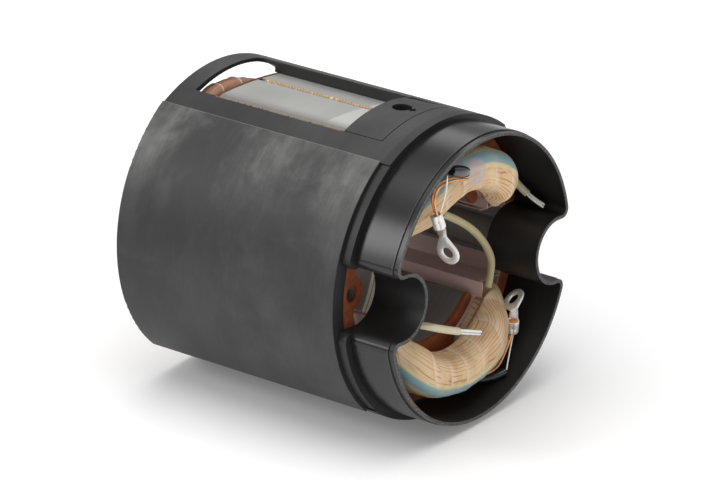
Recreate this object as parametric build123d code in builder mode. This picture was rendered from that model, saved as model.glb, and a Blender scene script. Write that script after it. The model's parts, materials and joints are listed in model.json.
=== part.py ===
from build123d import *
from math import cos, pi, radians, sin, sqrt
import os

os.makedirs("parts", exist_ok=True)

# Housing, lengths along the axis
housing_len = 103.2
shoulder_z = 87.4
band_z = 84.2
ledge_z = 83.4
lip_len = 2.0

# Housing radii
barrel_r = 50.0
barrel_wall = 3.25
band_sink = 1.3
neck_sink = 3.7
neck_wall = 1.5
lip_sink = 0.4
band_r = barrel_r - band_sink
neck_r = barrel_r - neck_sink
lip_r = neck_r - lip_sink
neck_bore_r = neck_r - neck_wall
bore_r = barrel_r - barrel_wall
rear_edge_round = 0.5

# Flattened strips above and below
strip_half_angle = 37.1
strip_arc_r = 54.4
strip_sink = 2.05
strip_top_y = barrel_r - strip_sink
strip_arc_drop = strip_arc_r - strip_top_y
strip_reach = 75.0

# Window in the upper strip
window_near_x = -22.4
window_far_x = 10.0
window_rear_z = 6.6
window_front_z = 64.4
window_low_y = 32.0
window_overrun = 6.0
window_high_y = barrel_r + window_overrun
window_far_round = 2.5
window_near_round = 0.3

# Panel in front of the window, its seam, hole and step
panel_front_z = 78.5
seam_width = 0.3
seam_depth = 0.35
hole_r = 3.1
hole_x = -2.3
hole_z = 71.0
hole_depth = 2.6
key_width = 1.6
key_tip_z = 76.3
key_head_width = 3.4
key_head_z = 74.6
key_depth = 1.2
step_near_x = 7.6
step_front_x = 11.2
step_depth = 0.9
step_rear_z = 64.9
step_front_z = 77.8

# Side channels through the neck
channel_sink = 7.1
channel_x = neck_r - channel_sink
channel_r = 10.0
channel_wall = 1.1
channel_lead_r = 2.8
channel_inner_r = 1.8
channel_reach = 60.0

# Lamination stack
stack_seat = 0.15
stack_r = bore_r - stack_seat
stack_rear_z = 14.3
stack_front_z = 82.0
stack_crown_sink = 2.85
stack_crown_y = stack_r - stack_crown_sink
stack_crown_r = 167.0
stack_fit = 0.1
rotor_bore_r = 25.0
horn_t = 3.8
horn_r = rotor_bore_r + horn_t
yoke_t = 7.8
yoke_r = stack_r - yoke_t
pole_half_width = 15.25
gap_half_angle = 33.9
horn_tip_r = 1.7
slot_corner_r = 0.5
boss_inset = 7.1
boss_x = stack_r - boss_inset
boss_r = 5.5
boss_blend_r = 1.0
bolt_r = 2.6
groove_width = 2.0
groove_depth = 1.0

# Fibre plates
plate_t = 1.2
plate_seat = 0.04

# Weld bead in the groove
bead_r = 0.7
bead_sink = 0.2
bead_y = stack_crown_y - bead_sink
bead_rear_z = 16.9

# Slot liners
liner_t = 0.3
liner_gap = 0.1
liner_rear_z = 12.3
liner_front_z = 84.1
flap_front_z = 86.5
flap_x = 24.05
flap_root_y = 16.1
upper_bore_flap_y = 12.9
upper_yoke_flap_y = 9.5
lower_bore_flap_y = 11.2
lower_yoke_flap_y = 6.75

# Coils
coil_gap = 0.15
coil_end_y = 12.3
coil_reach_y = 31.5
coil_half_width = 34.5
coil_corner_r = 22.0
coil_overrun = 0.4
coil_front_z = 100.0
coil_front_low_z = 84.5
coil_rear_z = 1.2
coil_rear_high_z = 11.9
coil_inner_r = 25.5
coil_front_room = 5.0
coil_outer_r = neck_bore_r - coil_front_room
coil_rear_room = 3.55
coil_rear_outer_r = bore_r - coil_rear_room
coil_slot_gap = 0.55
coil_side_inner_r = horn_r + coil_slot_gap
coil_side_outer_r = yoke_r - coil_slot_gap
coil_front_flare_z = 87.2
coil_front_full_z = 91.0
coil_front_out_z = 85.2
coil_front_wide_z = 88.2
coil_rear_flare_z = 10.8
coil_rear_full_z = 7.4
coil_rear_out_z = 11.4
coil_rear_wide_z = 8.2
coil_window_r = 0.5
coil_crown_r = 5.0
coil_flare_r = 2.0

# Leads, one point after another from the root
lead_r = 1.2
lead_core_r = 0.8
crossover_points = [(-10.9, 21.4, 94.2), (2.0, 15.57, 93.0), (14.5, 7.5, 91.0), (21.5, 0.6, 90.1),
                    (25.0, -5.0, 89.2), (24.4, -11.9, 88.4)]
crossover_bends = [80.0, 42.0, 25.0, 9.0]
lead_a_points = [(35.4, 23.0, 85.0), (37.4, 18.4, 87.6), (38.2, 15.9, 91.5)]
lead_a_bends = [9.0]
core_a_points = [(38.24, 15.78, 91.7), (38.8, 14.1, 94.0), (39.8, 12.9, 96.6)]
core_a_bends = [6.0]
lead_b_points = [(-19.9, -12.4, 90.9), (-18.9, -12.0, 95.4), (-13.66, -13.87, 98.0), (-6.53, -15.9, 100.0)]
lead_b_bends = [4.0, 12.0]
core_b_points = [(-6.4, -15.94, 100.03), (-1.9, -17.1, 100.9), (2.76, -18.29, 101.5)]
core_b_bends = [12.0]

# Copper wires and tinned strands
wire_r = 0.38
wire_a_points = [(-8.4, 34.2, 101.1), (-14.0, 35.6, 101.3), (-19.2, 35.8, 101.5), (-23.4, 34.6, 101.8),
                 (-25.9, 31.2, 102.2), (-24.6, 26.9, 102.5)]
wire_a_bends = [10.0, 8.0, 5.0, 4.0]
wire_a_shift = (-0.3, -0.5, 1.1)
strand_r = 0.25
strand_a_points = [(-20.2, 37.9, 102.4), (-21.6, 35.0, 104.0), (-22.9, 31.0, 104.4), (-23.2, 26.8, 103.6)]
strand_a_bends = [6.0, 8.0]
wire_b_points = [(15.2, -37.4, 93.5), (21.0, -37.0, 95.0), (25.6, -33.2, 95.0), (30.6, -27.4, 94.0)]
wire_b_bends = [4.0, 20.0]
wire_b_shift = (-0.7, -0.1, 0.85)
strand_b_points = [(23.1, -36.6, 98.3), (28.2, -31.6, 95.6), (31.6, -27.3, 94.3)]
strand_b_bends = [30.0]

# Shrink sleeves
sleeve_r = 1.15
sleeve_a_points = [(-8.8, 37.1, 101.3), (-13.2, 38.7, 101.3), (-17.8, 38.9, 101.6)]
sleeve_a_bends = [10.0]
sleeve_b_points = [(15.6, -39.5, 92.5), (19.2, -38.9, 96.4), (22.6, -36.9, 98.2)]
sleeve_b_bends = [7.5]

# Ring terminals
terminal_t = 0.8
ring_r = 3.9
ring_hole_r = 1.9
tongue_width = 3.4
crimp_r = 1.9
crimp_hole_r = 1.25
crimp_len = 4.6
terminal_a_crimp = (-24.06, 26.2, 102.6)
terminal_a_ring = (-20.5, 13.7, 104.1)
terminal_a_roll = 0.0
terminal_b_crimp = (31.26, -26.96, 94.0)
terminal_b_ring = (32.27, -16.89, 93.0)
terminal_b_roll = 68.0

# Rear ties
tie_r = 0.3
tie_gap = 0.3
tie_corner_r = 0.9
tie_positions = [-12.0, -3.0]


def wedge_face():
    with BuildSketch() as face:
        with BuildLine():
            reach_x = strip_reach * sin(radians(strip_half_angle))
            reach_y = strip_reach * cos(radians(strip_half_angle))
            Polyline((0, 0), (reach_x, reach_y), (-reach_x, reach_y), close=True)
        make_face()
    return face.sketch


def strip_face():
    with BuildSketch() as face:
        add(wedge_face())
        with Locations((0, -strip_arc_drop)):
            Circle(strip_arc_r, mode=Mode.SUBTRACT)
        mirror(about=Plane.XZ)
    return face.sketch


def channel_face(half_width):
    with BuildSketch() as face:
        with Locations((channel_x, 0)):
            Circle(half_width)
            Rectangle(channel_reach - channel_x, half_width + half_width, align=(Align.MIN, Align.CENTER))
        mirror(about=Plane.YZ)
    return face.sketch


def crown_face(gap):
    with BuildSketch() as face:
        with Locations((0, stack_crown_y - stack_crown_r)):
            Circle(stack_crown_r + gap)
        with Locations((0, stack_crown_r - stack_crown_y)):
            Circle(stack_crown_r + gap, mode=Mode.INTERSECT)
        with Locations((0, 0)):
            Circle(bore_r, mode=Mode.INTERSECT)
    return face.sketch


def neck_face(outer_r):
    with BuildSketch() as face:
        Circle(outer_r)
        Circle(neck_bore_r, mode=Mode.SUBTRACT)
        add(channel_face(channel_r + channel_wall) & Circle(neck_bore_r + liner_t, mode=Mode.PRIVATE))
        add(channel_face(channel_r), mode=Mode.SUBTRACT)
        corners = [v for v in face.vertices() if abs(Vector(v.X, v.Y).length - outer_r) < liner_gap]
        fillet(corners, radius=channel_lead_r)
        inside = [v for v in face.vertices() if abs(Vector(v.X, v.Y).length - neck_bore_r) < liner_gap]
        fillet(inside, radius=channel_inner_r)
    return face.sketch


# Housing body
with BuildPart() as housing:
    with BuildSketch():
        Circle(barrel_r)
        Circle(bore_r, mode=Mode.SUBTRACT)
    extrude(amount=liner_rear_z)
    with BuildSketch(Plane.XY.offset(liner_rear_z)):
        Circle(barrel_r)
        add(crown_face(stack_fit), mode=Mode.SUBTRACT)
    extrude(amount=ledge_z - liner_rear_z)
    with BuildSketch(Plane.XY.offset(ledge_z)):
        Circle(barrel_r)
        Circle(neck_bore_r, mode=Mode.SUBTRACT)
    extrude(amount=band_z - ledge_z)
    rear_edges = housing.edges().filter_by(GeomType.CIRCLE).group_by(Axis.Z)[0]
    fillet(rear_edges, radius=rear_edge_round)
    with BuildSketch(Plane.XY.offset(band_z)):
        add(neck_face(band_r))
        tops = wedge_face() & Circle(barrel_r, mode=Mode.PRIVATE)
        tops = tops - Circle(neck_r, mode=Mode.PRIVATE)
        add(tops)
        mirror(tops, about=Plane.XZ)
    extrude(amount=shoulder_z - band_z)
    with BuildSketch(Plane.XY.offset(shoulder_z)):
        add(neck_face(neck_r))
    extrude(amount=housing_len - lip_len - shoulder_z)
    with BuildSketch(Plane.XY.offset(housing_len - lip_len)):
        add(neck_face(lip_r))
    extrude(amount=lip_len)

    # room for the bead
    with BuildSketch(Plane.XY.offset(liner_rear_z)):
        with Locations((0, bead_y)):
            Circle(bead_r + stack_fit)
    extrude(amount=ledge_z - liner_rear_z, mode=Mode.SUBTRACT)

    # strips above and below
    with BuildSketch():
        add(strip_face())
    extrude(amount=shoulder_z, mode=Mode.SUBTRACT)

    # window
    with BuildSketch(Plane.XZ.offset(-window_high_y)) as window_face:
        with Locations((window_near_x, window_rear_z)):
            Rectangle(window_far_x - window_near_x, window_front_z - window_rear_z, align=(Align.MIN, Align.MIN))
        far_corner = window_face.vertices().group_by(Axis.Y)[0].sort_by(Axis.X)[-1]
        fillet(far_corner, radius=window_far_round)
        near_corner = window_face.vertices().group_by(Axis.X)[0].sort_by(Axis.Y)[0]
        fillet(near_corner, radius=window_near_round)
    extrude(amount=window_high_y - window_low_y, mode=Mode.SUBTRACT)

    # seam of the panel
    with BuildSketch(Plane.XY.offset(panel_front_z)):
        with Locations((0, -strip_arc_drop)):
            Circle(strip_arc_r + seam_depth)
            Circle(strip_arc_r - seam_depth, mode=Mode.SUBTRACT)
        with Locations((window_near_x, window_low_y)):
            Rectangle(step_front_x - window_near_x, window_high_y - window_low_y,
                      align=(Align.MIN, Align.MIN), mode=Mode.INTERSECT)
    extrude(amount=seam_width, mode=Mode.SUBTRACT)
    near_y = sqrt(strip_arc_r ** 2 - window_near_x ** 2) - strip_arc_drop
    with BuildSketch(Plane.XZ.offset(-window_high_y)):
        with Locations((window_near_x, window_front_z)):
            Rectangle(seam_width, panel_front_z - window_front_z, align=Align.MIN)
    extrude(amount=window_high_y - near_y + seam_depth, mode=Mode.SUBTRACT)

    # hole and arrow beside it
    crown_y = strip_arc_r - strip_arc_drop
    with BuildSketch(Plane.XZ.offset(-window_high_y)):
        with Locations((hole_x, hole_z)):
            Circle(hole_r)
    extrude(amount=window_high_y - crown_y + hole_depth, mode=Mode.SUBTRACT)
    arrow_y = sqrt(strip_arc_r ** 2 - hole_x ** 2) - strip_arc_drop - key_depth
    with BuildSketch(Plane.XZ.offset(-window_high_y)):
        with BuildLine():
            Polyline((hole_x - key_width / 2, hole_z), (hole_x - key_width / 2, key_head_z),
                     (hole_x - key_head_width / 2, key_head_z), (hole_x, key_tip_z),
                     (hole_x + key_head_width / 2, key_head_z), (hole_x + key_width / 2, key_head_z),
                     (hole_x + key_width / 2, hole_z), close=True)
        make_face()
    extrude(amount=window_high_y - arrow_y, mode=Mode.SUBTRACT)

    # step along the far side of the panel
    step_y = sqrt(strip_arc_r ** 2 - step_near_x ** 2) - strip_arc_drop - step_depth
    with BuildSketch(Plane.XZ.offset(-window_high_y)):
        with BuildLine():
            Polyline((step_near_x, step_rear_z), (step_front_x, step_rear_z),
                     (step_front_x, step_front_z), close=True)
        make_face()
    extrude(amount=window_high_y - step_y, mode=Mode.SUBTRACT)


def slot_face():
    with BuildSketch() as face:
        Circle(yoke_r)
        Circle(horn_r, mode=Mode.SUBTRACT)
        Rectangle(pole_half_width + pole_half_width, yoke_r * 3, mode=Mode.SUBTRACT)
    return face.sketch


def gap_face():
    with BuildSketch() as face:
        with BuildLine():
            reach_x = yoke_r * cos(radians(gap_half_angle))
            reach_y = yoke_r * sin(radians(gap_half_angle))
            Polyline((0, 0), (reach_x, reach_y), (reach_x, -reach_y), close=True)
        make_face()
        Circle(horn_r + horn_tip_r, mode=Mode.INTERSECT)
        mirror(about=Plane.YZ)
    return face.sketch


def boss_face():
    with BuildSketch() as face:
        with Locations((boss_x, 0), (-boss_x, 0)):
            Circle(boss_r)
    return face.sketch


def sheet_face(grooved):
    with BuildSketch() as face:
        Circle(stack_r)
        add(crown_face(0), mode=Mode.INTERSECT)
        Circle(rotor_bore_r, mode=Mode.SUBTRACT)
        add(slot_face(), mode=Mode.SUBTRACT)
        add(gap_face(), mode=Mode.SUBTRACT)
        add(boss_face() & Circle(stack_r - liner_gap, mode=Mode.PRIVATE))
        tips = [v for v in face.vertices() if Vector(v.X, v.Y).length < horn_r + liner_gap
                and abs(v.Y) < horn_r * sin(radians(gap_half_angle)) + liner_gap]
        fillet(tips, radius=horn_tip_r)
        inner = [v for v in face.vertices() if abs(abs(v.X) - pole_half_width) < liner_gap]
        fillet(inner, radius=slot_corner_r)
        blends = [v for v in face.vertices() if abs(Vector(v.X, v.Y).length - yoke_r) < liner_gap
                  and abs(v.Y) < boss_r + liner_gap]
        fillet(blends, radius=boss_blend_r)
        with Locations((boss_x, 0), (-boss_x, 0)):
            Circle(bolt_r, mode=Mode.SUBTRACT)
        if grooved:
            with Locations((0, stack_crown_y)):
                Rectangle(groove_width, groove_depth + groove_depth, mode=Mode.SUBTRACT)
    return face.sketch


# Lamination stack
with BuildPart() as lamination_stack:
    with BuildSketch(Plane.XY.offset(stack_rear_z)):
        add(sheet_face(True))
    extrude(amount=stack_front_z - stack_rear_z)

# Fibre plate at the rear
with BuildPart() as rear_end_insulator:
    with BuildSketch(Plane.XY.offset(stack_rear_z - plate_seat - plate_t)):
        add(sheet_face(False))
    extrude(amount=plate_t)

# Fibre plate at the front
with BuildPart() as front_end_insulator:
    with BuildSketch(Plane.XY.offset(stack_front_z + plate_seat)):
        add(sheet_face(False))
    extrude(amount=plate_t)

# Weld bead
with BuildPart() as weld_bead:
    with BuildSketch(Plane.XY.offset(bead_rear_z)):
        with Locations((0, bead_y)):
            Circle(bead_r)
    extrude(amount=stack_front_z - bead_rear_z)


def liner_face(side, top, bore_y, yoke_y):
    low_r = horn_r + liner_gap
    high_r = yoke_r - liner_gap
    near_x = pole_half_width + liner_gap
    with BuildSketch() as face:
        Circle(high_r)
        Circle(low_r, mode=Mode.SUBTRACT)
        with Locations((near_x, 0)):
            Rectangle(high_r, high_r, align=Align.MIN, mode=Mode.INTERSECT)
        fillet(face.vertices().filter_by(lambda v: abs(v.X - near_x) < liner_gap), radius=slot_corner_r)
    with BuildSketch() as core:
        Circle(high_r - liner_t)
        Circle(low_r + liner_t, mode=Mode.SUBTRACT)
        with Locations((near_x + liner_t, 0)):
            Rectangle(high_r, high_r, align=Align.MIN, mode=Mode.INTERSECT)
    with BuildSketch() as ends:
        with Locations((0, flap_root_y)):
            Rectangle(high_r, high_r, align=Align.MIN)
        with Locations(((low_r + high_r) / 2, yoke_y)):
            Rectangle(high_r, high_r, align=Align.MIN)
    with BuildSketch() as flap:
        with Locations((flap_x, bore_y)):
            Rectangle(liner_t, flap_root_y - bore_y + liner_gap, align=Align.MIN)
    lid_y = coil_end_y - coil_gap - liner_t
    with BuildSketch() as lid:
        with Locations((flap_x + liner_t, lid_y)):
            Rectangle(high_r - flap_x, liner_t, align=Align.MIN)
        Circle(high_r - liner_t / 2, mode=Mode.INTERSECT)
    whole = (face.sketch - core.sketch) & ends.sketch
    whole = whole + flap.sketch + lid.sketch
    if not top:
        whole = whole.mirror(Plane.XZ)
    if side < 0:
        whole = whole.mirror(Plane.YZ)
    return whole


def slot_liner(side, top, bore_y, yoke_y):
    with BuildPart() as liner:
        with BuildSketch(Plane.XY.offset(liner_rear_z)):
            add(liner_face(side, top, bore_y, yoke_y))
        extrude(amount=liner_front_z - liner_rear_z)
        with BuildSketch(Plane.XY.offset(liner_front_z)):
            with Locations((side * (flap_x + liner_t / 2), (1 if top else -1) * (bore_y + flap_root_y) / 2)):
                Rectangle(liner_t, flap_root_y - bore_y)
        extrude(amount=flap_front_z - liner_front_z)
    return liner


# Slot liners
slot_liner_upper_right = slot_liner(1, True, upper_bore_flap_y, upper_yoke_flap_y)
slot_liner_upper_left = slot_liner(-1, True, upper_bore_flap_y, upper_yoke_flap_y)
slot_liner_lower_right = slot_liner(1, False, lower_bore_flap_y, lower_yoke_flap_y)
slot_liner_lower_left = slot_liner(-1, False, lower_bore_flap_y, lower_yoke_flap_y)


def coil(top):
    with BuildPart() as body:
        with BuildSketch(Plane.XZ) as section:
            with BuildLine():
                Polyline((coil_inner_r, coil_front_z), (coil_outer_r, coil_front_z),
                         (coil_outer_r, coil_front_wide_z), (coil_side_outer_r, coil_front_out_z),
                         (coil_side_outer_r, coil_rear_out_z), (coil_rear_outer_r, coil_rear_wide_z),
                         (coil_rear_outer_r, coil_rear_z), (coil_inner_r, coil_rear_z),
                         (coil_inner_r, coil_rear_full_z), (coil_side_inner_r, coil_rear_flare_z),
                         (coil_side_inner_r, coil_front_flare_z), (coil_inner_r, coil_front_full_z),
                         close=True)
            make_face()
            rows = section.vertices().group_by(Axis.Y)
            flares = [v for row in rows[1:-1] for v in row]
            fillet(flares, radius=coil_flare_r)
            rows = section.vertices().group_by(Axis.Y)
            fillet(rows[0] + rows[-1], radius=coil_crown_r)
        revolve(axis=Axis.Z, revolution_arc=180)
        with BuildSketch(Plane.XZ.offset(-coil_end_y)):
            with Locations((0, (coil_front_z + coil_rear_z) / 2)):
                RectangleRounded(coil_half_width + coil_half_width,
                                 coil_front_z - coil_rear_z + coil_overrun + coil_overrun, coil_corner_r)
            opening = pole_half_width + liner_gap + liner_t + coil_gap
            with Locations((0, (coil_front_low_z + coil_rear_high_z) / 2)):
                RectangleRounded(opening + opening, coil_front_low_z - coil_rear_high_z, coil_window_r,
                                 mode=Mode.SUBTRACT)
        extrude(amount=-coil_reach_y, mode=Mode.INTERSECT)
    if top:
        return body.part
    return body.part.mirror(Plane.XZ)


# Upper coil
with BuildPart() as upper_coil:
    add(coil(True))

# Lower coil
with BuildPart() as lower_coil:
    add(coil(False))


def run_along(points, bends, radius, bore_r=0):
    start = Vector(*points[0])
    ahead = Vector(*points[1]) - start
    with BuildPart() as tube:
        with BuildLine() as path:
            FilletPolyline(*points, radius=bends)
        with BuildSketch(Plane(origin=start, z_dir=ahead)):
            Circle(radius)
            if bore_r:
                Circle(bore_r, mode=Mode.SUBTRACT)
        sweep(path=path.wire())
    print(f"run {path.wire().length:.2f} long, bends {bends}, volume {tube.part.volume:.2f},",
          f"section times length {pi * (radius ** 2 - bore_r ** 2) * path.wire().length:.2f}")
    return tube.part


def moved(points, shift):
    return [(x + shift[0], y + shift[1], z + shift[2]) for x, y, z in points]


# Lead between the two coils
with BuildPart() as crossover_lead:
    add(run_along(crossover_points, crossover_bends, lead_r))

# Short lead beside the upper coil
with BuildPart() as lead_a:
    add(run_along(lead_a_points, lead_a_bends, lead_r))

# Bare end of the lead beside the upper coil
with BuildPart() as lead_a_core:
    add(run_along(core_a_points, core_a_bends, lead_core_r))

# Short lead in front of the bore
with BuildPart() as lead_b:
    add(run_along(lead_b_points, lead_b_bends, lead_r))

# Bare end of the lead in front of the bore
with BuildPart() as lead_b_core:
    add(run_along(core_b_points, core_b_bends, lead_core_r))

# Copper wires of the upper terminal
with BuildPart() as wire_a_inner:
    add(run_along(wire_a_points, wire_a_bends, wire_r))

with BuildPart() as wire_a_outer:
    add(run_along(moved(wire_a_points, wire_a_shift), wire_a_bends, wire_r))

# Tinned strand of the upper terminal
with BuildPart() as strand_a:
    add(run_along(strand_a_points, strand_a_bends, strand_r))

# Copper wires of the lower terminal
with BuildPart() as wire_b_inner:
    add(run_along(wire_b_points, wire_b_bends, wire_r))

with BuildPart() as wire_b_outer:
    add(run_along(moved(wire_b_points, wire_b_shift), wire_b_bends, wire_r))

# Tinned strand of the lower terminal
with BuildPart() as strand_b:
    add(run_along(strand_b_points, strand_b_bends, strand_r))

# Sleeve over the upper joint
with BuildPart() as shrink_sleeve_a:
    add(run_along(sleeve_a_points, sleeve_a_bends, sleeve_r))

# Sleeve over the lower joint
with BuildPart() as shrink_sleeve_b:
    add(run_along(sleeve_b_points, sleeve_b_bends, sleeve_r))


def ring_terminal(crimp_end, ring_centre, roll):
    start = Vector(*crimp_end)
    along = Vector(*ring_centre) - start
    sideways = along.cross(Vector(0, 0, 1)).rotate(Axis(start, along), roll)
    flat = Plane(origin=start, x_dir=along, z_dir=along.cross(sideways))
    barrel = Plane(origin=start, x_dir=sideways, z_dir=along)
    span = along.length
    with BuildPart() as terminal:
        with BuildSketch(flat):
            with Locations((span, 0)):
                Circle(ring_r)
            with Locations((crimp_len, 0)):
                Rectangle(span - crimp_len, tongue_width, align=(Align.MIN, Align.CENTER))
            with Locations((span, 0)):
                Circle(ring_hole_r, mode=Mode.SUBTRACT)
        extrude(amount=terminal_t / 2, both=True)
        with BuildSketch(barrel):
            Circle(crimp_r)
        extrude(amount=crimp_len + terminal_t)
        with BuildSketch(barrel):
            Circle(crimp_hole_r)
        extrude(amount=crimp_len, mode=Mode.SUBTRACT)
    return terminal.part


# Upper ring terminal
with BuildPart() as ring_terminal_a:
    add(ring_terminal(terminal_a_crimp, terminal_a_ring, terminal_a_roll))

# Lower ring terminal
with BuildPart() as ring_terminal_b:
    add(ring_terminal(terminal_b_crimp, terminal_b_ring, terminal_b_roll))


def tie(x):
    high = sqrt(coil_rear_outer_r ** 2 - x ** 2) + tie_gap + tie_r
    low = sqrt(coil_inner_r ** 2 - x ** 2) - tie_gap - tie_r
    deep = coil_rear_high_z - coil_rear_z + tie_gap + tie_gap
    with BuildPart() as loop:
        with BuildSketch(Plane.YZ.offset(x - tie_r)):
            with Locations(((high + low) / 2, (coil_rear_z + coil_rear_high_z) / 2)):
                RectangleRounded(high - low + tie_r + tie_r, deep + tie_r * 4, tie_corner_r + tie_r * 2)
                RectangleRounded(high - low - tie_r - tie_r, deep, tie_corner_r, mode=Mode.SUBTRACT)
        extrude(amount=tie_r + tie_r)
    return loop.part


# Rear ties
with BuildPart() as rear_tie_left:
    add(tie(tie_positions[0]))

with BuildPart() as rear_tie_right:
    add(tie(tie_positions[1]))

named = {
    "housing": housing,
    "lamination_stack": lamination_stack,
    "weld_bead": weld_bead,
    "rear_end_insulator": rear_end_insulator,
    "front_end_insulator": front_end_insulator,
    "slot_liner_upper_right": slot_liner_upper_right,
    "slot_liner_upper_left": slot_liner_upper_left,
    "slot_liner_lower_right": slot_liner_lower_right,
    "slot_liner_lower_left": slot_liner_lower_left,
    "upper_coil": upper_coil,
    "lower_coil": lower_coil,
    "crossover_lead": crossover_lead,
    "lead_a": lead_a,
    "lead_a_core": lead_a_core,
    "lead_b": lead_b,
    "lead_b_core": lead_b_core,
    "wire_a_inner": wire_a_inner,
    "wire_a_outer": wire_a_outer,
    "strand_a": strand_a,
    "wire_b_inner": wire_b_inner,
    "wire_b_outer": wire_b_outer,
    "strand_b": strand_b,
    "shrink_sleeve_a": shrink_sleeve_a,
    "shrink_sleeve_b": shrink_sleeve_b,
    "ring_terminal_a": ring_terminal_a,
    "ring_terminal_b": ring_terminal_b,
    "rear_tie_left": rear_tie_left,
    "rear_tie_right": rear_tie_right,
}
for name, piece in named.items():
    box = piece.part.bounding_box()
    print(name, round(piece.part.volume, 1), len(piece.part.solids()), box.min, box.max)
    piece.part.label = name
    export_step(piece.part, f"parts/{name}.step")
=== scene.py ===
import json
import math

import bmesh
import bpy
from mathutils import Matrix, Vector, noise


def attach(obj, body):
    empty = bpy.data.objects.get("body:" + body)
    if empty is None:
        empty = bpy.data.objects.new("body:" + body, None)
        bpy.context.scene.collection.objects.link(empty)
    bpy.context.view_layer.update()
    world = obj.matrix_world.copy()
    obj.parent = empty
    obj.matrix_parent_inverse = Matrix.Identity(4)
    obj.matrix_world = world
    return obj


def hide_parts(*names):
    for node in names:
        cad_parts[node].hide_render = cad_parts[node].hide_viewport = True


bl_info = {
    "name": "Stator in moulded housing",
    "version": (1, 0, 0),
    "blender": (4, 5, 0),
    "location": "View3D > Sidebar > Stator",
    "description": "Dresses the packed stator with taped coils, leads and finishes",
    "category": "Add Mesh",
}

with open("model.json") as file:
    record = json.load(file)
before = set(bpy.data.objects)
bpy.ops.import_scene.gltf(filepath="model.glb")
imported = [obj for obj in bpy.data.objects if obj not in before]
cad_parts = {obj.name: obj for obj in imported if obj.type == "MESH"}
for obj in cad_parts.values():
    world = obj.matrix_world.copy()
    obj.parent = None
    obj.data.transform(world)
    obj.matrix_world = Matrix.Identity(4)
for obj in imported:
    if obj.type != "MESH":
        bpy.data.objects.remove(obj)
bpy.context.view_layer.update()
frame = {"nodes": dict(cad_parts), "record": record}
MM = 0.001
FULL_TURN = 2 * math.pi
WHITE = (1.0, 1.0, 1.0)


# ---------------------------------------------------------------- shader maths

class Wire:
    """An output socket in a node tree that takes Python arithmetic."""

    def __init__(self, shade, socket):
        self.shade = shade
        self.socket = socket

    def math(self, operation, other=None):
        values = {0: self} if other is None else {0: self, 1: other}
        return self.shade.node("ShaderNodeMath", {"operation": operation}, values)

    def __add__(self, other):
        return self.math("ADD", other)

    def __radd__(self, other):
        return self.math("ADD", other)

    def __sub__(self, other):
        return self.math("SUBTRACT", other)

    def __rsub__(self, other):
        return self.shade.node("ShaderNodeMath", {"operation": "SUBTRACT"}, {0: other, 1: self})

    def __mul__(self, other):
        return self.math("MULTIPLY", other)

    def __rmul__(self, other):
        return self.math("MULTIPLY", other)

    def __truediv__(self, other):
        return self.math("DIVIDE", other)

    def wave(self):
        return self.math("SINE")

    def size(self):
        return self.math("ABSOLUTE")

    def step(self, low, high):
        """0 below low, 1 above high, smooth between."""
        return self.shade.node("ShaderNodeMapRange", {"interpolation_type": "SMOOTHSTEP"},
                               {"Value": self, "From Min": low, "From Max": high})

    def band(self, low, high, soft):
        """1 between low and high, 0 elsewhere, with soft edges of this half width."""
        return self.step(low - soft, low + soft) * (1 - self.step(high - soft, high + soft))


class Shade:
    """The node tree of a material or a world, with a plain way to add nodes."""

    def __init__(self, owner, output="ShaderNodeOutputMaterial"):
        owner.use_nodes = True
        self.owner = owner
        self.tree = owner.node_tree
        self.tree.nodes.clear()
        self.surface = self.tree.nodes.new(output).inputs["Surface"]
        self.place = None

    def node(self, kind, settings=None, values=None, out=0):
        made = self.tree.nodes.new(kind)
        for key, value in (settings or {}).items():
            setattr(made, key, value)
        for key, value in (values or {}).items():
            self.join(made.inputs[key], value)
        return Wire(self, made.outputs[out])

    def join(self, socket, value):
        if isinstance(value, Wire):
            self.tree.links.new(value.socket, socket)
        elif hasattr(value, "__len__") and len(value) == 3 and socket.type == "RGBA":
            socket.default_value = (*value, 1.0)
        else:
            socket.default_value = value

    def spot(self):
        """The place on the object, made once for each tree."""
        if self.place is None:
            self.place = self.node("ShaderNodeTexCoord", out="Object")
        return self.place

    def axes(self, vector=None):
        parts = self.tree.nodes.new("ShaderNodeSeparateXYZ")
        self.join(parts.inputs[0], vector or self.spot())
        return [Wire(self, parts.outputs[i]) for i in range(3)]

    def vector(self, x, y, z):
        return self.node("ShaderNodeCombineXYZ", values={0: x, 1: y, 2: z})

    def grain(self, scale, detail=4.0, rough=0.55, vector=None, twist=0.0):
        return self.node("ShaderNodeTexNoise", {"noise_dimensions": "3D"},
                         {"Vector": vector or self.spot(), "Scale": scale, "Detail": detail,
                          "Roughness": rough, "Distortion": twist})

    def mix(self, share, first, second):
        made = self.tree.nodes.new("ShaderNodeMix")
        made.data_type = "RGBA"
        for index, value in ((0, share), (6, first), (7, second)):
            self.join(made.inputs[index], value)
        return Wire(self, made.outputs[2])

    def ramp(self, share, stops):
        made = self.node("ShaderNodeValToRGB", values={0: share})
        ramp = made.socket.node.color_ramp
        while len(ramp.elements) < len(stops):
            ramp.elements.new(1.0)
        for element, (at, colour) in zip(ramp.elements, stops):
            element.position = at
            element.color = (*colour, 1.0)
        return made

    def bump(self, height, strength, reach, below=None):
        values = {"Height": height, "Strength": strength, "Distance": reach}
        if below is not None:
            values["Normal"] = below
        return self.node("ShaderNodeBump", values=values)

    def principled(self, **values):
        named = {key.replace("_", " "): value for key, value in values.items()}
        return self.node("ShaderNodeBsdfPrincipled", values=named)

    def coat(self, **values):
        """Closes the tree with a principled shader."""
        self.join(self.surface, self.principled(**values))


# ---------------------------------------------------------------- finishes

# each as the start and end of a soft step, in m: radii first, then heights
STRIP_SKIN = (0.0474, 0.0477)
BARREL_SKIN = (0.0493, 0.0498)
NECK_SKIN = (0.0452, 0.0457)
BARREL_END = (0.0838, 0.0844)
NECK_START = (0.0874, 0.0879)
RIM = (0.1029, 0.1031)
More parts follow.
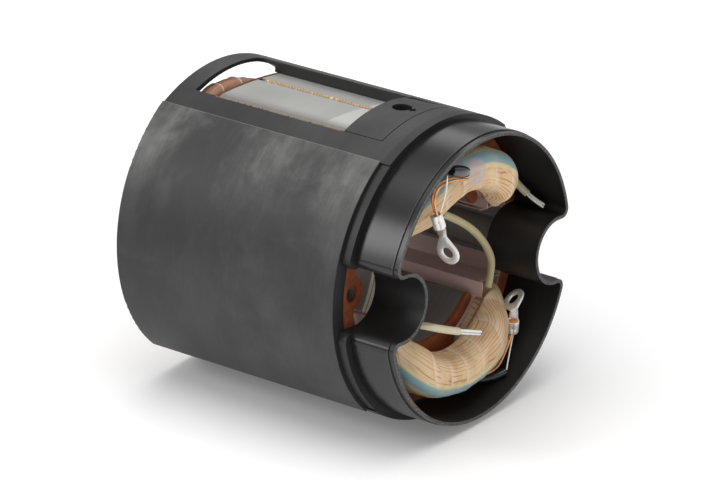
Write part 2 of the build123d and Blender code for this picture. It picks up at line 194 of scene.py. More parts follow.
# angle of a flattened strip's edge from the Y axis, in radians
STRIP_EDGE = (0.6455, 0.6505)
WEAVE = 0.42 * MM
RIPPLE = 1.1 * MM
LILAC_SPOT = (-0.0020, 0.0338, 0.1012)


def housing_finish(s, look):
    """Black moulded plastic, scuffed on the barrel and satin on the neck."""
    strip_black, bore_shade_black = (0.015, 0.015, 0.015), (0.006, 0.0055, 0.0055)
    edge_highlight_grey, flash_tan = (0.20, 0.20, 0.19), (0.20, 0.145, 0.09)
    dust_grey, rim_grey, step_light_grey = (0.16, 0.16, 0.15), (0.115, 0.112, 0.108), (0.05, 0.05, 0.05)
    x, y, z = s.axes()
    radius = (x * x + y * y).math("SQRT")
    behind = 1 - z.step(*BARREL_END)
    outer = radius.step(*STRIP_SKIN) * behind
    barrel = radius.step(*BARREL_SKIN) * behind
    outside = radius.step(*NECK_SKIN)
    neck = z.step(*NECK_START) * outside
    rim = z.step(*RIM)
    # how high a place is on the barrel, for the painted shade toward the bottom
    top = (y / radius).step(0.10, 0.85)
    # painted highlight: a light line along the edge of each flattened strip
    edge_highlight = x.size().math("ARCTAN2", y.size()).band(*STRIP_EDGE, 0.0015) * outer
    # thin flash along the window's left edge, and a line of painted light on the step face below
    # the lip, lifting its shade
    flash = (x.band(-0.02275, -0.0222, 0.00008) * y.step(0.0425, 0.0428)
             * z.band(0.0150, 0.0640, 0.0005))
    lip = z.band(0.1008, 0.1015, 0.0002) * radius.step(0.0455, 0.0459)
    # scuffs: clouds broken up by marks that run round the barrel, faded toward the bottom as
    # painted shade
    fine = s.grain(1.0, 6.0, 0.72, s.vector(x * 120.0, y * 120.0, z * 1500.0))
    smear = s.grain(34.0, 6.0, 0.66, s.vector(x * 0.6, y * 0.6, z * 1.2))
    patch = s.grain(24.0, 5.0, 0.60, twist=0.5)
    streaks = s.grain(1.0, 5.0, 0.65, s.vector(x * 22.0, y * 22.0, z * 260.0))
    cloud = smear.step(0.40, 0.70) * 0.55 + patch.step(0.45, 0.68) * 0.60
    wear_and_painted_shade = barrel * (cloud + 0.10) * (0.02 + fine + streaks * 0.75) * (0.30 + 0.88 * top)
    dusty = (outer - barrel) * smear.step(0.35, 0.75) * (0.35 + fine * 0.5)
    dust = s.grain(1500.0, 2.0, 0.6).step(0.74, 0.78)
    speckle = s.grain(1600.0, 3.0, 0.7)
    colour = s.mix(outer * 0.55, look.black, strip_black)
    colour = s.mix(dusty * 0.25, colour, look.scuff)
    colour = s.mix(wear_and_painted_shade, colour, look.scuff)
    # painted shade: the inside of the housing is darker than the outside
    colour = s.mix((1 - outside) * 0.6, colour, bore_shade_black)
    colour = s.mix(edge_highlight * (0.35 + 0.5 * streaks), colour, edge_highlight_grey)
    colour = s.mix(flash * s.grain(1300.0, 2.0).step(0.38, 0.50), colour, flash_tan)
    colour = s.mix(dust * 0.5 * outside, colour, dust_grey)
    colour = s.mix(rim * (0.20 + 0.95 * speckle.step(0.35, 0.65)), colour, rim_grey)
    colour = s.mix(lip * 0.50, colour, step_light_grey)
    rough = 0.45 + barrel * 0.04 - neck * 0.23 + wear_and_painted_shade * 0.12 + rim * 0.3
    rough = rough + s.grain(2600.0, 2.0) * 0.07
    normal = s.bump(s.grain(3400.0, 2.0, 0.5), 0.10, 0.0001)
    normal = s.bump(fine * barrel + speckle * rim * 2.0, 0.14, 0.0001, normal)
    s.coat(Base_Color=colour, Roughness=rough, Normal=normal, Specular_IOR_Level=0.46)


def steel_finish(s, look):
    """Cut edges of thin steel sheets: painted lighter on the flat in the window, with painted shade
    in the bore.
    """
    x, y, z = s.axes()
    lines = (z * (FULL_TURN / (look.sheet * MM))).wave()
    each = s.grain(1.0, 2.0, 0.5, s.vector(0.0, 0.0, z * 900.0))
    window = y.step(0.0425, 0.0432)
    clouds = s.grain(55.0, 3.0, 0.6, s.vector(x * 0.5, y * 0.5, z * 1.4))
    # painted light: the flat in the window gets a lighter copy of the steel
    light = s.mix(clouds, (0.40, 0.40, 0.385), (0.49, 0.49, 0.47))
    # the front end of the flat gets a painted reflection, and a patch toward its rear is darker
    front = (z - x * 0.073).step(0.0551, 0.0555)
    light = s.mix(front * 0.55, light, (0.70, 0.70, 0.68))
    shade = z.band(0.019, 0.030, 0.006) * (x + 0.012).size().band(-0.01, 0.007, 0.005)
    light = s.mix(shade * 0.35, light, (0.30, 0.30, 0.29))
    # painted reflection: a bright band in the bore that shows through the left channel, with a dark
    # line in it
    slope = z + x * 0.48
    bright = slope.band(0.0569, 0.0620, 0.0003) * z.band(0.0450, 0.0585, 0.001)
    bright = bright * (1 - y.step(-0.016, -0.015)) * (1 - slope.band(0.0580, 0.0583, 0.00008))
    # painted shade: the steel in the bore gets a darker copy
    dark = s.mix(each, (0.16, 0.15, 0.14), (0.25, 0.235, 0.215))
    dark = s.mix(bright * (0.75 + 0.25 * each), dark, (0.95, 0.92, 0.76))
    colour = s.mix(window, dark, light)
    colour = s.mix((lines * 0.5 + 0.5) * (0.22 - 0.12 * window), colour, (0.05, 0.045, 0.04))
    s.coat(Base_Color=colour, Metallic=0.55 * window + 0.25,
           Roughness=0.46 + s.grain(90.0, 4.0) * 0.14 + window * 0.06,
           Normal=s.bump(lines * 0.5 + each * 0.7, 0.22, 0.00006))


def fibre_finish(s, look):
    """Red-brown vulcanised fibre with short hairs, and painted shade in the window."""
    x, y, z = s.axes()
    hair = s.grain(700.0, 4.0, 0.7, s.vector(x, y, z * 5.0))
    colour = s.ramp(s.grain(160.0, 5.0, 0.6) * 0.6 + hair * 0.4,
                    [(0.25, (0.085, 0.018, 0.005)), (0.5, look.fibre), (0.8, (0.38, 0.115, 0.03))])
    # painted shade: darker where the fibre shows in the window
    colour = s.mix(y.step(0.0400, 0.0410) * 0.75, colour, (0.055, 0.017, 0.009))
    s.coat(Base_Color=colour, Roughness=0.62 + hair * 0.2, Normal=s.bump(hair, 0.35, 0.00015))


def film_finish(s, look):
    """Thin mauve-brown slot film with a soft shine and a pale edge on the lower liners."""
    fine = s.grain(900.0, 3.0)
    x, y, _ = s.axes()
    lip = x.size().band(0.0239, 0.0245, 0.0001) * (1 - y.step(-0.001, 0.001))
    colour = s.mix(s.grain(60.0, 3.0), look.film, (0.52, 0.36, 0.34))
    colour = s.mix(fine * 0.30, colour, (0.30, 0.19, 0.18))
    colour = s.mix(lip * 0.75, colour, (0.84, 0.60, 0.55))
    s.coat(Base_Color=colour, Roughness=0.34 + fine * 0.16, Normal=s.bump(fine, 0.10, 0.0001))


def tape_finish(s, look):
    """Cream woven tape: the wires below show as red-brown lines, with laps and a blue stripe."""
    shade_tan, bright_cream, pale_cream = (0.50, 0.28, 0.14), (0.84, 0.66, 0.42), (0.84, 0.68, 0.47)
    weave_brown, groove_brown = (0.48, 0.30, 0.17), (0.42, 0.26, 0.16)
    dirt_brown, arm_shade_brown, lilac_grey = (0.34, 0.18, 0.09), (0.36, 0.23, 0.14), (0.56, 0.47, 0.46)
    lap_cream, hem_cream, stripe_cream = (0.86, 0.74, 0.58), (0.92, 0.82, 0.62), (0.82, 0.70, 0.38)
    x, y, z = s.axes()
    along, around, _ = s.axes(s.node("ShaderNodeUVMap", {"uv_map": "winding"}, out="UV"))
    edge = s.node("ShaderNodeAttribute", {"attribute_name": "stripe"}, out="Fac")
    turns = along / (look.tape_pitch * MM)
    lap, turn = turns.math("FRACT"), turns.math("FLOOR")
    tint = s.grain(1.0, 0.0, 0.5, s.vector(turn * 3.71, turn * 1.37, 0.5))
    flat = s.vector(along, around, turn * 0.011)
    drift = s.grain(60.0, 3.0, 0.5, flat)
    # the wires below
    slot = around / (look.wire_gap * MM) + drift * 2.2
    streak = s.grain(1.0, 3.0, 0.6, s.vector(along * 130.0, slot.math("FLOOR") * 5.3, turn * 0.35))
    thin = s.grain(75.0, 3.0, 0.6, s.vector(along, around, 2.0))
    line = (slot * FULL_TURN).wave().step(0.55, 0.98)
    line = line * streak.step(0.38, 0.52) * (0.45 + 0.55 * thin.step(0.38, 0.60))
    weave = (along * (FULL_TURN / WEAVE)).wave() * (around * (FULL_TURN / WEAVE)).wave() * 0.5 + 0.5
    cloud = s.grain(140.0, 4.0, 0.6, flat)
    base = s.ramp(cloud, [(0.22, shade_tan), (0.5, look.tape), (0.78, bright_cream)])
    base = s.mix((tint - 0.35) * 0.5, base, pale_cream)
    base = s.mix(weave * 0.16, base, weave_brown)
    # the lap of each turn
    over = 1 - lap.step(0.0, 0.42)
    groove = lap.band(0.975, 1.1, 0.012)
    hem = lap.band(0.012, 0.110, 0.030)
    base = s.mix(over * 0.34, base, lap_cream)
    base = s.mix(line * (0.80 - 0.30 * over), base, look.thread)
    base = s.mix(groove * 0.16, base, groove_brown)
    base = s.mix(hem * 0.15, base, hem_cream)
    # blue stripe with cream beside it
    wander = (drift - 0.5) * 1.6
    base = s.mix((edge + wander).band(-3.8, 6.0, 0.6) * 0.50, base, stripe_cream)
    stripe = (edge + wander).band(-2.15, 2.15, 0.45)
    fade = s.grain(70.0, 2.0, 0.5, s.vector(along, 0.0, 3.0))
    blue = s.mix(weave * 0.25 + line * 0.2, look.stripe, (0.34, 0.42, 0.34))
    colour = s.mix(stripe * (0.62 + 0.45 * fade), base, blue)
    # pink enamel shows at the rear end
    pink = s.mix(line * 0.4 + cloud * 0.3, (0.38, 0.19, 0.13), (0.25, 0.10, 0.065))
    colour = s.mix((1 - z.step(0.0105, 0.0150)) * 0.88, colour, pink)
    # lilac patch at the upper joint
    near = s.node("ShaderNodeVectorMath", {"operation": "DISTANCE"}, {0: s.spot(), 1: LILAC_SPOT},
                  out="Value")
    lilac = 1 - (near + (drift - 0.5) * 0.003).step(0.0042, 0.0056)
    colour = s.mix(lilac * 0.72, colour, lilac_grey)
    # painted shade: the lower coil's right arm is darker and browner
    brown = x.step(0.006, 0.022) * (1 - y.step(-0.001, 0.001))
    colour = s.mix(brown * (0.30 + 0.25 * line), colour, arm_shade_brown)
    colour = s.mix(s.grain(52.0, 4.0, 0.6).step(0.50, 0.75) * 0.22, colour, dirt_brown)
    height = weave * 0.40 - line * 0.25 + cloud * 0.35 - groove * 0.15 + hem * 0.10 + over * 0.15
    s.coat(Base_Color=colour, Roughness=0.66 + weave * 0.1, Normal=s.bump(height, 0.55, 0.00025),
           Specular_IOR_Level=0.35)


def sleeve_finish(s, look):
    """Cream braided sleeve on the leads, darker on the crossover."""
    fine = s.grain(1400.0, 3.0)
    x, y, _ = s.axes()
    crossover = y.step(-0.0122, -0.0118) * (1 - x.step(0.030, 0.031))
    colour = s.mix(s.grain(120.0, 3.0), look.sleeve, (0.60, 0.55, 0.38))
    colour = s.mix(crossover * 0.85, colour, (0.36, 0.30, 0.155))
    colour = s.mix(fine * 0.25, colour, (0.48, 0.43, 0.30))
    s.coat(Base_Color=colour, Roughness=0.55 + fine * 0.15, Normal=s.bump(fine, 0.25, 0.0001))


def copper_finish(s, look):
    """Enamelled copper wire."""
    cloud = s.grain(420.0, 3.0)
    s.coat(Base_Color=s.mix(cloud, look.copper, (0.86, 0.42, 0.16)), Metallic=0.85,
           Roughness=0.24 + cloud * 0.14, Coat_Weight=0.5, Normal=s.bump(cloud, 0.08, 0.0001))


def tin_finish(s, look):
    """Bright tin plating with fine marks."""
    marks = s.grain(260.0, 5.0, 0.7, twist=0.6)
    s.coat(Base_Color=s.mix(s.grain(700.0, 4.0), look.tin, (0.78, 0.77, 0.73)), Metallic=0.36,
           Roughness=0.26 + marks * 0.22, Normal=s.bump(marks, 0.12, 0.0001))


def shrink_finish(s, look):
    """Glossy black sleeve."""
    cloud = s.grain(240.0, 3.0)
    s.coat(Base_Color=s.mix(cloud, (0.008, 0.009, 0.012), (0.02, 0.022, 0.028)),
           Roughness=0.16 + cloud * 0.12, Coat_Weight=0.6, Normal=s.bump(cloud, 0.3, 0.0003))


def thread_finish(s, look):
    """Cream lacing thread."""
    fine = s.grain(1800.0, 3.0)
    s.coat(Base_Color=s.mix(fine, (0.80, 0.72, 0.52), (0.50, 0.42, 0.28)), Roughness=0.8,
           Normal=s.bump(fine, 0.4, 0.0001))


def weld_finish(s, look):
    """Tan weld bead with ripples and light lumps."""
    ripple = (s.axes()[2] * (FULL_TURN / RIPPLE)).wave() * 0.5 + 0.5
    cloud = s.grain(500.0, 4.0)
    lumps = s.grain(650.0, 3.0, 0.6)
    colour = s.mix(ripple * 0.35 + cloud * 0.5, (0.20, 0.13, 0.065), (0.62, 0.47, 0.29))
    colour = s.mix(lumps.step(0.55, 0.68) * 0.7, colour, (0.80, 0.68, 0.48))
    s.coat(Base_Color=colour, Metallic=0.35, Roughness=0.42 + cloud * 0.25,
           Normal=s.bump(ripple * 0.5 + lumps + cloud, 0.7, 0.0003))


FINISHES = {
    "housing_plastic": housing_finish, "steel_sheet": steel_finish, "fibre": fibre_finish,
    "film": film_finish, "tape": tape_finish, "lead_cover": sleeve_finish, "copper": copper_finish,
    "tin": tin_finish, "shrink": shrink_finish, "thread": thread_finish, "weld": weld_finish,
}
made_finishes = {}


def finish_named(slot):
    if slot not in made_finishes:
        s = Shade(bpy.data.materials.new(slot))
        FINISHES[slot](s, bpy.context.scene.stator_look)
        made_finishes[slot] = s.owner
    return made_finishes[slot]


def dress(piece, slot):
    piece.data.materials.clear()
    piece.data.materials.append(finish_named(slot))


# ---------------------------------------------------------------- settings

def tint(name, about, default):
    return bpy.props.FloatVectorProperty(name=name, description=about, subtype="COLOR",
                                         default=default)


def number(name, default, about="", **more):
    return bpy.props.FloatProperty(name=name, description=about, default=default, **more)


class StatorLook(bpy.types.PropertyGroup):
    """Colours, and the spacings of the drawn lines."""
    black: tint("Housing", "Moulded plastic", (0.0105, 0.0105, 0.011))
    scuff: tint("Scuffs", "Worn barrel surface", (0.145, 0.145, 0.142))
    fibre: tint("Fibre", "End plates", (0.23, 0.052, 0.012))
    film: tint("Film", "Slot liners", (0.62, 0.44, 0.40))
    tape: tint("Tape", "Coil tape", (0.78, 0.55, 0.31))
    thread: tint("Thread", "Lines in the tape", (0.46, 0.125, 0.045))
    stripe: tint("Stripe", "Blue edge of the tape", (0.20, 0.42, 0.50))
    sleeve: tint("Sleeve", "Lead sleeves", (0.74, 0.70, 0.52))
    copper: tint("Copper", "Magnet wire", (0.66, 0.24, 0.07))
    tin: tint("Tin", "Terminals and bare ends", (0.96, 0.95, 0.91))
    sheet: number("Sheet", 0.65, "Thickness of a lamination in mm")
    wire_gap: number("Wire gap", 1.2, "Distance between the wires below the tape in mm")
    tape_pitch: number("Tape pitch", 8.2, "Step from turn to turn in mm")


class StatorCoil(bpy.types.PropertyGroup):
    """Sizes of a taped coil, in mm."""
    bend_x: number("Bend centre", 14.0)
    front_bend: number("Front bend height", 82.7)
    rear_bend: number("Rear bend height", 13.7)
    front: number("Front height", 100.0)
    rear: number("Rear height", 1.2)
    half_width: number("Outer half width", 34.4)
    corner: number("Rear corner", 22.0)
    front_corner: number("Front corner", 18.0)
    end_y: number("Slot side", 12.3)
    inner: number("Inner radius", 25.6)
    outer: number("Outer radius", 39.7)
    rear_outer: number("Outer radius at the rear", 42.7)
    side_inner: number("Inner radius in the slot", 29.45)
    side_outer: number("Outer radius in the slot", 38.15)
    square: number("Squareness of the section", 2.7)
    girth: number("Girth", 46.0, "Length round the section that the tape's lines follow")
    stripe_turn: number("Stripe", 37.0, "Place of the stripe round the section in degrees")


class StatorStage(bpy.types.PropertyGroup):
    """Camera, table and light."""
    lens: number("Lens", 230.85, "Focal length in mm")
    floor: number("Table", 47.98, "Table below the axis, in mm")
    glow: number("Table glow", 0.13, "Light the table gives off")
    key: number("Key light", 3.6, "Power of the large top light", unit="POWER")
    fill: number("Fill", 0.42, "Strength of the light from all round")


# ---------------------------------------------------------------- objects

def linked(name, data):
    """A new object in the scene."""
    piece = bpy.data.objects.new(name, data)
    bpy.context.scene.collection.objects.link(piece)
    return piece


def mesh_object(name, bm):
    """A new object from a bmesh, which is freed."""
    mesh = bpy.data.meshes.new(name)
    bm.to_mesh(mesh)
    bm.free()
    return linked(name, mesh)


def wire_object(name, runs, radius, slot, smooth, sides, closed=False):
    """Round wires on smooth curves; a run is a list of places in mm, each with its widening."""
    curve = bpy.data.curves.new(name, "CURVE")
    curve.dimensions = "3D"
    for run in runs:
        spline = curve.splines.new("NURBS")
        spline.points.add(len(run) - 1)
        for target, (place, swell) in zip(spline.points, run):
            target.co = (*[v * MM for v in place], 1.0)
            target.radius = swell
        spline.order_u = 3
        spline.use_endpoint_u = not closed
        spline.use_cyclic_u = closed
        spline.resolution_u = smooth
    curve.bevel_depth = radius * MM
    curve.bevel_resolution = sides
    curve.use_fill_caps = not closed
    curve.materials.append(finish_named(slot))
    return linked(name, curve)


# ---------------------------------------------------------------- coils

# heights in mm between which a winding spreads, inside and outside, at the front and the rear
INNER_FRONT, INNER_REAR = (85.6, 90.0), (7.2, 11.0)
OUTER_FRONT, OUTER_REAR = (85.2, 88.4), (8.0, 11.6)
# heights in mm between which the tape gets free of the slot
FREE_FRONT, FREE_REAR = (87.0, 92.0), (6.0, 11.0)
HALFWAY = 50.0
INSIDE = 1.8            # from a section's pivot to the inside of the winding, in mm
FARTHEST = 60.0
COIL_POINTS = 48        # round one section
ACROSS, BEND, ARM = 26, 22, 34      # sections in each part of half a winding
LAP_SLANT = 2.4         # in mm


def eased(value, low, high):
    share = min(max((value - low) / (high - low), 0.0), 1.0)
    return share * share * (3 - 2 * share)


def coil_radii(c, x, z):
    """Inner and outer radius of the winding at a place; its rear end leans to one side."""
    spread = max(eased(z, *INNER_FRONT), 1 - eased(z, *INNER_REAR))
    low = c.side_inner + (c.inner - c.side_inner) * spread
    high = c.side_outer + (c.outer - c.side_outer) * eased(z, *OUTER_FRONT)
    lean = min(max(-0.14 * x, -2.0), 1.9)
    high += (c.rear_outer + lean - c.side_outer) * (1 - eased(z, *OUTER_REAR))
    return low, high


def coil_edge(c, radius, z):
    """Half width of the winding at a radius and height."""
    widest = min(c.half_width, math.sqrt(max(radius ** 2 - c.end_y ** 2, 1.0)))
    corner = c.front_corner if z > HALFWAY else c.corner
    core = c.half_width - corner
    past = max(z - (c.front - c.front_corner), c.rear + c.corner - z, 0.0)
    drop = min(past / corner, 1.0)
    return core + (widest - core) * math.sqrt(1 - drop * drop)


def coil_reach(c, origin, way, radius):
    """Distance from a pivot to the outside of the winding, by halving."""
    near, far = INSIDE, FARTHEST
    for _ in range(26):
        half = (near + far) / 2
        x, z = origin[0] + half * way[0], origin[1] + half * way[1]
        inside = abs(x) < coil_edge(c, radius, z) and c.rear < z < c.front
        near, far = (half, far) if inside else (near, half)
    return near


def coil_stations(c):
    """Pivot and direction of each section, once round the winding."""
    stations = []
    for side, bend, other in ((1, c.front_bend, c.rear_bend), (-1, c.rear_bend, c.front_bend)):
        edge = c.bend_x * side
        for i in range(ACROSS):
            stations.append(((-edge + 2 * edge * i / ACROSS, bend), (0.0, side)))
        for i in range(BEND):
            turn = math.radians(90 * i / BEND)
            stations.append(((edge, bend), (side * math.sin(turn), side * math.cos(turn))))
        for i in range(ARM):
            stations.append(((edge, bend + (other - bend) * i / ARM), (float(side), 0.0)))
        for i in range(BEND):
            turn = math.radians(90 - 90 * i / BEND)
            stations.append(((edge, other), (side * math.sin(turn), -side * math.cos(turn))))
    return stations


def coil_section(c, origin, way, count):
    """Points of one rounded section, in mm."""
    points = []
    for k in range(count):
        turn = FULL_TURN * (k + 0.5) / count
        ca, sa = math.cos(turn), math.sin(turn)
        p = 0.5 + 0.5 * math.copysign(abs(ca) ** (2 / c.square), ca)
        q = 0.5 + 0.5 * math.copysign(abs(sa) ** (2 / c.square), sa)
        radius = (c.side_inner + c.side_outer) / 2
        for _ in range(3):
            reach = INSIDE + (coil_reach(c, origin, way, radius) - INSIDE) * p
            x, z = origin[0] + reach * way[0], origin[1] + reach * way[1]
            low, high = coil_radii(c, x, z)
            radius = low + (high - low) * q
        points.append(Vector((x, math.sqrt(max(radius * radius - x * x, 1.0)), z)))
    return points


def stripe_gaps(points, degrees):
    """Distance of each point from the stripe's middle, the short way round a section."""
    count = len(points)
    around = [0.0]
    for k in range(count):
        around.append(around[-1] + (points[(k + 1) % count] - points[k]).length)
    mark = degrees / 360 * count - 0.5
    first = int(mark)
    middle = around[first] + (around[first + 1] - around[first]) * (mark - first)
    gaps = [place - middle for place in around[:count]]
    return [gap - around[-1] * round(gap / around[-1]) for gap in gaps]


def coil_mesh(c, name, up, seed, pitch):
    """The taped winding as one closed ring of rounded sections."""
    count = COIL_POINTS
    bm = bmesh.new()
    uv = bm.loops.layers.uv.new("winding")
    stripe = bm.verts.layers.float.new("stripe")
    sections = [coil_section(c, origin, way, count) for origin, way in coil_stations(c)]
    middles = [sum(points, Vector()) / count for points in sections]
    n = len(sections)
    along = [0.0]
    for i in range(n):
        along.append(along[-1] + (middles[(i + 1) % n] - middles[i]).length)
    stretch = round(along[-1] / pitch) * pitch / along[-1]

    def wound(at, edge):
        """Length along the tape's laps, which lean round the section."""
        return along[at] * stretch + LAP_SLANT * math.sin(FULL_TURN * edge / count + seed)

    verts = []
    for i, points in enumerate(sections):
        gaps = stripe_gaps(points, c.stripe_turn)
        row = []
        for k, point in enumerate(points):
            out = (point - middles[i]).normalized()
            lap = (wound(i, k) / pitch) % 1.0
            ridge = math.exp(-(lap / 0.30) ** 2) - 0.9 * math.exp(-((1 - lap) / 0.07) ** 2)
            spot = point + Vector((0, 0, 90 * seed))
            soft, fine = noise.noise(spot * 0.11), noise.noise(spot * 0.5)
            free = max(eased(point.z, *FREE_FRONT), 1 - eased(point.z, *FREE_REAR))
            inset = -0.42 + (0.42 * soft + 0.08 * fine + 0.12 * ridge) * (0.15 + 0.85 * free)
            placed = point + out * inset * (0.35 + 0.65 * free)
            vert = bm.verts.new((placed.x * MM, placed.y * up * MM, placed.z * MM))
            vert[stripe] = gaps[k]
            row.append(vert)
        verts.append(row)
    for i in range(n):
        after = (i + 1) % n
        for k in range(count):
            beside = (k + 1) % count
            corners = []
            for ring, at, index, edge in ((i, i, k, k), (i, i, beside, k + 1),
                                          (after, i + 1, beside, k + 1), (after, i + 1, k, k)):
                corners.append((verts[ring][index], wound(at, edge), c.girth * edge / count))
            face = bm.faces.new([corner[0] for corner in corners])
            face.smooth = True
            for loop, (_, u, v) in zip(face.loops, corners):
                loop[uv].uv = (u * MM, v * MM)
    bmesh.ops.recalc_face_normals(bm, faces=bm.faces)
    return mesh_object(name, bm)


# ---------------------------------------------------------------- cords and wires

# routes in mm
CROSSOVER = [(-10.9, 21.4, 94.2), (2.0, 15.57, 93.0), (14.5, 7.5, 91.0), (21.5, 0.6, 90.1),
             (25.0, -5.0, 89.2), (24.4, -11.9, 88.4)]
LEAD_A = [(35.4, 23.0, 85.0), (37.4, 18.4, 87.6), (38.2, 15.9, 91.5)]
CORE_A = [(38.24, 15.78, 91.7), (38.8, 14.1, 94.0), (39.8, 12.9, 96.6)]
LEAD_B = [(-19.9, -12.4, 90.9), (-18.9, -12.0, 95.4), (-13.66, -13.87, 98.0), (-6.53, -15.9, 100.0)]
CORE_B = [(-6.4, -15.94, 100.03), (-1.9, -17.1, 100.9), (2.76, -18.29, 101.5)]
WIRE_A = [(-9.6, 34.4, 101.1), (-14.6, 35.6, 101.3), (-20.2, 36.2, 101.5), (-25.6, 35.6, 101.8),
          (-28.2, 31.6, 102.0), (-25.2, 26.9, 101.7)]
WIRE_A_SHIFT = (-0.3, -0.5, 1.1)
STRAND_A = [(-21.0, 37.6, 102.4), (-23.0, 35.0, 104.0), (-24.4, 31.0, 104.2), (-24.2, 26.8, 102.9)]
WIRE_B = [(15.2, -37.4, 93.5), (21.0, -37.0, 95.0), (25.6, -33.2, 95.0), (30.6, -27.4, 94.0)]
WIRE_B_SHIFT = (-0.7, -0.1, 0.85)
STRAND_B = [(23.1, -36.6, 98.3), (28.2, -31.6, 95.6), (31.6, -27.3, 94.3)]
SLEEVE_A = [(-9.8, 36.0, 101.2), (-13.4, 36.9, 101.4), (-18.0, 38.3, 101.7)]
SLEEVE_B = [(15.6, -39.5, 92.5), (19.2, -38.9, 96.4), (22.6, -36.9, 98.2)]

# radii in mm
LEAD_R, WIRE_R, STRAND_R, SLEEVE_R, CORE_R, CRIMPED_R = 1.2, 0.38, 0.25, 1.15, 0.30, 1.28
# the strands of a bare core, beside its route, and the widening of the sleeve over joint a
BUNDLE = [(0.54 * math.cos(a), 0.54 * math.sin(a), 0.35 * math.sin(2 * a))
          for a in (0.2, 1.46, 2.71, 3.97, 5.23)]
SWELL_A = (1.45, 2.1, 1.2)
TIES = (("rear_tie_left", -12.0), ("rear_tie_right", -3.0))
TIE_POINTS, TIE_R, TIE_SINK, TIE_SWAY = 30, 0.28, 0.20, 0.9


def shifted(points, shift):
    return [tuple(a + b for a, b in zip(point, shift)) for point in points]


def strand_object(name, points, radius, slot, bundle=((0.0, 0.0, 0.0),), swell=None):
    """Wires beside the route's points; swell widens each point."""
    swell = swell or (1.0,) * len(points)
    runs = [list(zip(shifted(points, shift), swell)) for shift in bundle]
    piece = wire_object(name, runs, radius, slot, smooth=12, sides=5)
    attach(piece, "root")
    return piece


# ---------------------------------------------------------------- ring terminals

# name, crimp end, ring centre, way from crimp to ring, plate normal, neck from the ring's centre
TERMINALS = (
    ("ring_terminal_a", (-24.7, 26.15, 101.75), (-20.5, 13.7, 104.1), (0.315, -0.933, 0.176),
     (-0.962, -0.271, 0.026), 5.6),
    ("ring_terminal_b", (31.26, -26.96, 94.0), (32.27, -16.89, 93.0), (0.738, 0.330, -0.589),
     (-0.606, 0.707, -0.364), 5.2),
)
DENT_SIDE = Vector((-0.76467, 0.31857, 0.56018))        # toward the photo's camera
RING_POINTS, CRIMP_POINTS, NECK_STEPS = 56, 44, 6
# dent of the crimp, as shares of its length with the depth in mm
DENT = ((0.03, 0.0), (0.28, 0.10), (0.42, 0.42), (0.58, 0.42), (0.72, 0.10), (0.97, 0.0))


def skin(bm, rows, ring=True):
    """Quads between rows of points in mm; with ring the last row meets the first, else caps."""
    made = [[bm.verts.new(point * MM) for point in row] for row in rows]
    count = len(rows[0])
    for i in range(len(rows) if ring else len(rows) - 1):
        here, after = made[i], made[(i + 1) % len(rows)]
        for k in range(count):
            beside = (k + 1) % count
            face = bm.faces.new((here[k], here[beside], after[beside], after[k]))
            face.smooth = True
    if not ring:
        bm.faces.new(made[0])
        bm.faces.new(list(reversed(made[-1])))


def plate_rows(centre, along, across, normal, reach, outer=3.9, hole=1.9, neck=1.25, thick=0.8,
               edge=0.14):
    """The ring and its tongue, as sections round the hole."""
    leave = math.radians(122)
    px, py = outer * math.cos(leave), outer * math.sin(leave)
    dx, dy = -reach - px, neck - py
    corner = math.pi - math.atan2(neck, reach)
    turns = [FULL_TURN * i / RING_POINTS - math.pi for i in range(RING_POINTS)]
    half = thick / 2
    rows = []
    for turn in sorted(turns + [corner, -corner]):
        ca, sa = math.cos(turn), abs(math.sin(turn))
        if abs(turn) < leave:
            rim = outer
        elif abs(turn) <= corner:
            rim = (px * dy - py * dx) / (ca * dy - sa * dx)
        else:
            rim = -reach / ca
        profile = ((rim - edge, half), (rim, half - edge), (rim, edge - half), (rim - edge, -half),
                   (hole + edge, -half), (hole, edge - half), (hole, half - edge),
                   (hole + edge, half))
        rows.append([centre + along * (r * ca) + across * (r * math.sin(turn)) + normal * h
                     for r, h in profile])
    return rows


def barrel_rows(foot, axis, face, length=4.6, outer=1.9, wall=0.5, edge=0.12):
    """The rolled crimp, with its seam and dent toward the face direction."""
    side = axis.cross(face)
    rows = []
    for i in range(CRIMP_POINTS):
        turn = FULL_TURN * i / CRIMP_POINTS - math.pi
        seam = math.exp(-(turn / 0.15) ** 2)
        dent = math.exp(-(turn / 0.75) ** 2)
        out = face * math.cos(turn) + side * math.sin(turn)
        profile = [(outer - edge, 0.0)]
        for share, deep in DENT:
            profile.append((outer - deep * dent - 0.40 * seam, share * length))
        profile += [(outer - edge, length), (outer - wall + edge, length),
                    (outer - wall - 0.2 * dent, 0.5 * length), (outer - wall + edge, 0.0)]
        rows.append([foot + out * r + axis * h for r, h in profile])
    return rows


def neck_rows(start, end, sides, ends):
    """The tongue between crimp and plate; sides and ends are the ways across and up it."""
    rows = []
    for i in range(NECK_STEPS + 1):
        share = i / NECK_STEPS
        ease = share * share * (3 - 2 * share)
        middle = start.lerp(end, share)
        wide = sides[0].lerp(ends[0], ease).normalized() * (1.5 + (1.2 - 1.5) * ease)
        deep = sides[1].lerp(ends[1], ease).normalized() * (0.26 + 0.1 * ease)
        rows.append([middle + wide + deep, middle - wide + deep, middle - wide - deep,
                     middle + wide - deep])
    return rows


